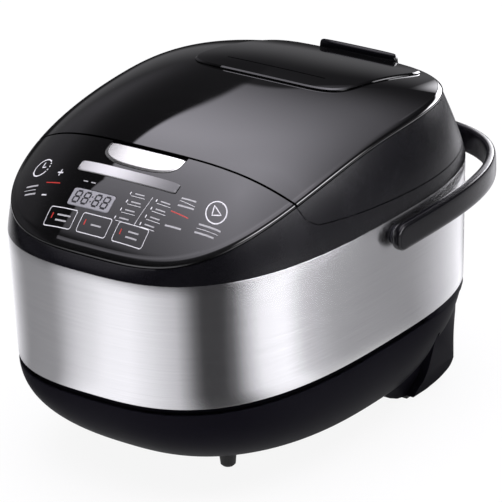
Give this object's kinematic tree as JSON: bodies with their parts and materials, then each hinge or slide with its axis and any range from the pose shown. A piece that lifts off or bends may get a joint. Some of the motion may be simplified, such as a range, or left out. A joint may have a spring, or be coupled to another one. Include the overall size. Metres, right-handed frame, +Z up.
{
  "type": "electric pressure cooker",
  "caption": "Countertop multi-cooker with an arched flip lid, sloping touch panel, brushed steel band, removable pot and a swinging bail handle.",
  "frame": {"origin": "middle of the overall box on the ground plane, under the pot's area", "axes": "+Z up; -Y is the front with the control panel; +X is the right-hand side seen from the front"},
  "size_m": [0.286, 0.4, 0.2574],
  "materials": {
    "base_plastic": "satin moulded black",
    "satin_plastic": "satin moulded black",
    "handle_plastic": "satin moulded black",
    "gloss_black": "high gloss black",
    "black_plastic": "matt black",
    "pale_plastic": "satin pale grey",
    "display_plastic": "clear gloss over a pale grey display",
    "brushed_band": "brushed along the band",
    "silver_strip": "satin silver",
    "screw_steel": "bright zinc",
    "chrome_button": "bright plate over plastic",
    "heater_aluminium": "as formed",
    "pot_coating": "dark non-stick coating",
    "foot_rubber": "matt",
    "silicone": "matt translucent white",
    "board": "green circuit board"
  },
  "bodies": {
    "housing": {"base_pan": "base_plastic", "base_screws": "screw_steel", "front_feet": "foot_rubber", "rear_foot_pads": "foot_rubber", "steel_band": "brushed_band", "rear_panel": "base_plastic", "power_inlet": "black_plastic", "inlet_blades": "screw_steel", "power_board": "board", "heat_shield": "heater_aluminium", "heating_plate": "heater_aluminium", "plate_posts": "screw_steel", "sensor_spring": "screw_steel", "thermal_fuse": "pale_plastic", "inner_pot": "pot_coating", "upper_collar": "satin_plastic", "control_panel": "gloss_black", "badge_strip": "silver_strip", "display_window": "display_plastic", "display_module": "black_plastic", "control_board": "board", "button_spring": "screw_steel", "latch_pin": "screw_steel", "hinge_bracket": "screw_steel", "hinge_pin": "screw_steel", "hinge_springs": "screw_steel", "handle_bushes": "black_plastic"},
    "lid": {"lid_skirt": "satin_plastic", "lid_cover": "gloss_black", "lid_liner": "pale_plastic", "inner_lid_plate": "heater_aluminium", "lid_gasket": "silicone", "plate_knob": "silicone", "steam_cup": "black_plastic", "steam_seal": "silicone", "lid_catch": "screw_steel"},
    "steam_cover": {"steam_cover": "gloss_black"},
    "handle": {"handle": "handle_plastic", "handle_clips": "screw_steel"},
    "open_button": {"open_button": "chrome_button"},
    "latch": {"latch_lever": "black_plastic"},
    "dew_collector": {"dew_collector": "pale_plastic"},
    "sensor": {"thermal_sensor": "screw_steel"}
  },
  "joints": [
    {"name": "lid_hinge", "type": "hinge", "parent": "housing", "child": "lid", "pos_m": [0, 0.17, 0.198], "axis": [-1, 0, 0], "range_deg": [0, 85]},
    {"name": "steam_cover_lift", "type": "slide", "parent": "lid", "child": "steam_cover", "axis": [0, 0, 1], "range_m": [0, 0.025]},
    {"name": "handle_swing", "type": "hinge", "parent": "housing", "child": "handle", "pos_m": [0, 0.002, 0.1625], "axis": [1, 0, 0], "range_deg": [0, 90]},
    {"name": "button_press", "type": "slide", "parent": "housing", "child": "open_button", "axis": [0, 0, -1], "range_m": [0, 0.0025], "stiffness_N_per_m": 400, "springref_m": -0.004, "deforming": ["button_spring"]},
    {"name": "latch_turn", "type": "hinge", "parent": "housing", "child": "latch", "pos_m": [0, -0.133, 0.216], "axis": [-1, 0, 0], "range_deg": [0, 17]},
    {"name": "dew_collector_pull", "type": "slide", "parent": "housing", "child": "dew_collector", "axis": [0, 1, 0], "range_m": [0, 0.03]},
    {"name": "sensor_press", "type": "slide", "parent": "housing", "child": "sensor", "axis": [0, 0, -1], "range_m": [0, 0.002], "stiffness_N_per_m": 400, "springref_m": -0.004, "deforming": ["sensor_spring"]}
  ],
  "couplings": [
    {"joint": "latch_turn", "follows": "button_press", "rad_per_m": 115.2}
  ]
}
